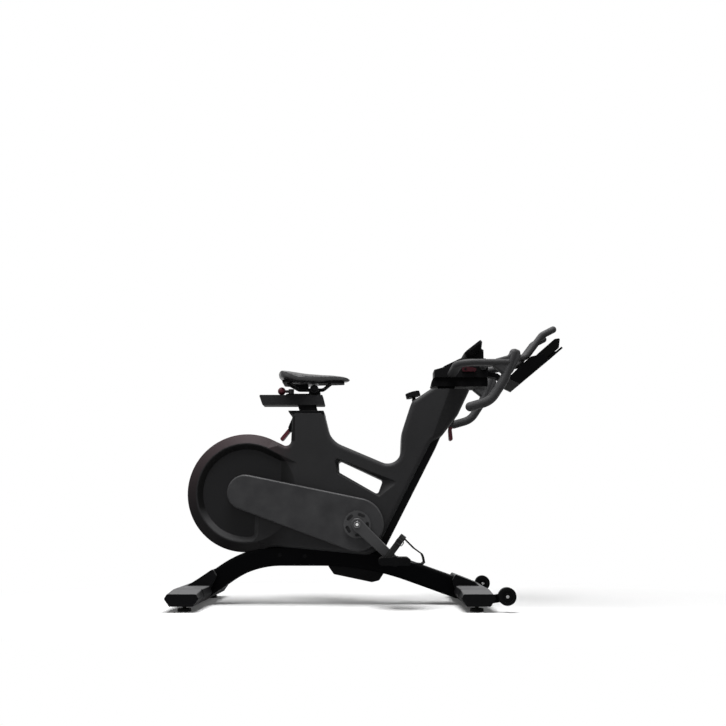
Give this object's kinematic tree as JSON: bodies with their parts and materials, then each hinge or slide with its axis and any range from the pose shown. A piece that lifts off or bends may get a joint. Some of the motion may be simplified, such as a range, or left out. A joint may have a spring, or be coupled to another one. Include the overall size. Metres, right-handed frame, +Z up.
{
  "type": "exercise bike",
  "caption": "Indoor cycling exercise bike with an arched base, enclosed flywheel and belt drive, sliding saddle and handlebar posts and toe-clip pedals.",
  "frame": {"origin": "middle of the length and width at floor level", "axes": "+X forward towards the handlebar, +Y to the rider's left, +Z up"},
  "size_m": [1.3159, 0.514, 0.963],
  "materials": {
    "frame_steel": "satin",
    "bar_caps": "satin",
    "foot_rubber": "matte",
    "wheel_plastic": "satin",
    "black_plastic": "matte",
    "body_plastic": "satin",
    "cover_plastic": "satin",
    "wheel_iron": "machined",
    "plain_steel": "satin",
    "bolt_chrome": "polished",
    "pulley_alloy": "satin",
    "belt_rubber": "matte",
    "crank_grey": "satin",
    "pedal_plastic": "matte",
    "strap_web": "woven",
    "red_grip": "satin",
    "lever_black": "satin",
    "saddle_cover": "grained, slightly shiny",
    "bar_foam": "matte",
    "screen": "gloss",
    "key_plastic": "satin"
  },
  "bodies": {
    "frame": {"base_arch": "frame_steel", "rear_stabilizer": "frame_steel", "front_stabilizer": "frame_steel", "stabilizer_end_caps": "bar_caps", "arch_boots": "bar_caps", "battery_box": "black_plastic", "body_shell_right": "body_plastic", "body_shell_left": "body_plastic", "front_trim": "black_plastic", "drive_cover": "cover_plastic", "main_frame": "frame_steel", "bearings": "plain_steel", "drive_belt": "belt_rubber", "seat_collar": "black_plastic", "frame_fasteners": "plain_steel"},
    "crank_set": {"crank_spindle": "plain_steel", "drive_pulley": "pulley_alloy", "crank_arm_right": "crank_grey", "crank_arm_left": "crank_grey", "crank_bolts": "bolt_chrome", "pedal_spindles": "plain_steel"},
    "wheel_set": {"flywheel": "wheel_iron", "flywheel_shaft": "plain_steel", "flywheel_pulley": "pulley_alloy"},
    "pedal_right": {"pedal_body_right": "pedal_plastic", "toe_clip_right": "pedal_plastic", "pedal_strap_right": "strap_web"},
    "pedal_left": {"pedal_body_left": "pedal_plastic", "toe_clip_left": "pedal_plastic", "pedal_strap_left": "strap_web"},
    "brake": {"brake_arm": "plain_steel", "brake_magnets": "plain_steel"},
    "plunger": {"knob_plunger": "plain_steel"},
    "knob": {"resistance_knob": "lever_black"},
    "seat_mast": {"seat_post": "frame_steel"},
    "seat_mast_lever": {"seat_height_lever": "red_grip"},
    "seat_slider": {"seat_carriage": "frame_steel"},
    "seat_clamp_lever": {"seat_lever": "red_grip"},
    "saddle": {"saddle_clamp": "frame_steel", "saddle_rails": "plain_steel", "saddle_shell": "black_plastic", "saddle_pad": "saddle_cover"},
    "bar_mast": {"handlebar_post": "frame_steel"},
    "bar_mast_lever": {"bar_height_lever": "red_grip"},
    "bar_set": {"bar_carriage": "frame_steel", "handlebar": "bar_foam", "bar_horns": "bar_foam", "console_housing": "black_plastic", "console_screen": "screen", "device_tray": "black_plastic", "tray_rest": "black_plastic"},
    "bar_clamp_lever": {"bar_lever": "red_grip"},
    "key_right": {"console_key_right": "key_plastic"},
    "key_left": {"console_key_left": "key_plastic"},
    "caster_right": {"transport_wheel_right": "wheel_plastic"},
    "caster_left": {"transport_wheel_left": "wheel_plastic"},
    "foot_rear_right": {"levelling_foot_rear_right": "foot_rubber"},
    "foot_rear_left": {"levelling_foot_rear_left": "foot_rubber"},
    "foot_front_right": {"levelling_foot_front_right": "foot_rubber"},
    "foot_front_left": {"levelling_foot_front_left": "foot_rubber"}
  },
  "joints": [
    {"name": "crank_spin", "type": "hinge", "parent": "frame", "child": "crank_set", "pos_m": [-0.05775, 0, 0.272], "axis": [0, 1, 0], "continuous": true},
    {"name": "flywheel_spin", "type": "hinge", "parent": "frame", "child": "wheel_set", "pos_m": [-0.44175, 0, 0.381], "axis": [0, 1, 0], "continuous": true},
    {"name": "pedal_right_spin", "type": "hinge", "parent": "crank_set", "child": "pedal_right", "pos_m": [0.06556, -0.156, 0.15498], "axis": [0, 1, 0], "continuous": true},
    {"name": "pedal_left_spin", "type": "hinge", "parent": "crank_set", "child": "pedal_left", "pos_m": [-0.18106, 0.156, 0.38902], "axis": [0, 1, 0], "continuous": true},
    {"name": "brake_swing", "type": "hinge", "parent": "frame", "child": "brake", "pos_m": [-0.25075, 0, 0.47], "axis": [0, 1, 0], "range_deg": [-2.5, 2.5]},
    {"name": "knob_push", "type": "slide", "parent": "frame", "child": "plunger", "axis": [0.2521, 0, -0.9677], "range_m": [0, 0.004], "stiffness_N_per_m": 3000, "springref_m": -0.002},
    {"name": "knob_turn", "type": "hinge", "parent": "plunger", "child": "knob", "pos_m": [0.14575, 0, 0.708], "axis": [-0.2521, 0, 0.9677], "range_deg": [-150, 150]},
    {"name": "seat_height", "type": "slide", "parent": "frame", "child": "seat_mast", "axis": [-0.284, 0, 0.9588], "range_m": [-0.02, 0.19]},
    {"name": "seat_mast_lever_swing", "type": "hinge", "parent": "frame", "child": "seat_mast_lever", "pos_m": [-0.27075, 0, 0.644], "axis": [0, 1, 0], "range_deg": [0, 60]},
    {"name": "seat_fore_aft", "type": "slide", "parent": "seat_mast", "child": "seat_slider", "axis": [1, 0, 0], "range_m": [-0.08, 0.01]},
    {"name": "seat_clamp_lever_swing", "type": "hinge", "parent": "seat_slider", "child": "seat_clamp_lever", "pos_m": [-0.29475, 0, 0.742], "axis": [0, 0, 1], "range_deg": [0, 90]},
    {"name": "saddle_tilt", "type": "hinge", "parent": "seat_slider", "child": "saddle", "pos_m": [-0.21075, 0, 0.747], "axis": [0, 1, 0], "range_deg": [-5, 5]},
    {"name": "bar_height", "type": "slide", "parent": "frame", "child": "bar_mast", "axis": [0.454, 0, 0.891], "range_m": [-0.01, 0.19]},
    {"name": "bar_mast_lever_swing", "type": "hinge", "parent": "frame", "child": "bar_mast_lever", "pos_m": [0.27925, 0, 0.648], "axis": [0, -1, 0], "range_deg": [0, 60]},
    {"name": "bar_fore_aft", "type": "slide", "parent": "bar_mast", "child": "bar_set", "axis": [1, 0, 0], "range_m": [-0.02, 0.025]},
    {"name": "bar_clamp_lever_swing", "type": "hinge", "parent": "bar_set", "child": "bar_clamp_lever", "pos_m": [0.32325, -0.039, 0.816], "axis": [0, -1, 0], "range_deg": [0, 60]},
    {"name": "key_right_press", "type": "slide", "parent": "bar_set", "child": "key_right", "axis": [0.6198, 0, -0.7848], "range_m": [0, 0.0015], "stiffness_N_per_m": 600, "springref_m": -0.001},
    {"name": "key_left_press", "type": "slide", "parent": "bar_set", "child": "key_left", "axis": [0.6198, 0, -0.7848], "range_m": [0, 0.0015], "stiffness_N_per_m": 600, "springref_m": -0.001},
    {"name": "caster_right_spin", "type": "hinge", "parent": "frame", "child": "caster_right", "pos_m": [0.41325, -0.246, 0.05], "axis": [0, 1, 0], "continuous": true},
    {"name": "caster_left_spin", "type": "hinge", "parent": "frame", "child": "caster_left", "pos_m": [0.41325, 0.246, 0.05], "axis": [0, 1, 0], "continuous": true},
    {"name": "foot_rear_right_level", "type": "slide", "parent": "frame", "child": "foot_rear_right", "axis": [0, 0, -1], "range_m": [0, 0.012]},
    {"name": "foot_rear_left_level", "type": "slide", "parent": "frame", "child": "foot_rear_left", "axis": [0, 0, -1], "range_m": [0, 0.012]},
    {"name": "foot_front_right_level", "type": "slide", "parent": "frame", "child": "foot_front_right", "axis": [0, 0, -1], "range_m": [0, 0.012]},
    {"name": "foot_front_left_level", "type": "slide", "parent": "frame", "child": "foot_front_left", "axis": [0, 0, -1], "range_m": [0, 0.012]}
  ],
  "couplings": [
    {"joint": "crank_spin", "follows": "flywheel_spin", "ratio": 0.25},
    {"joint": "brake_swing", "follows": "knob_turn", "ratio": 0.016667}
  ]
}
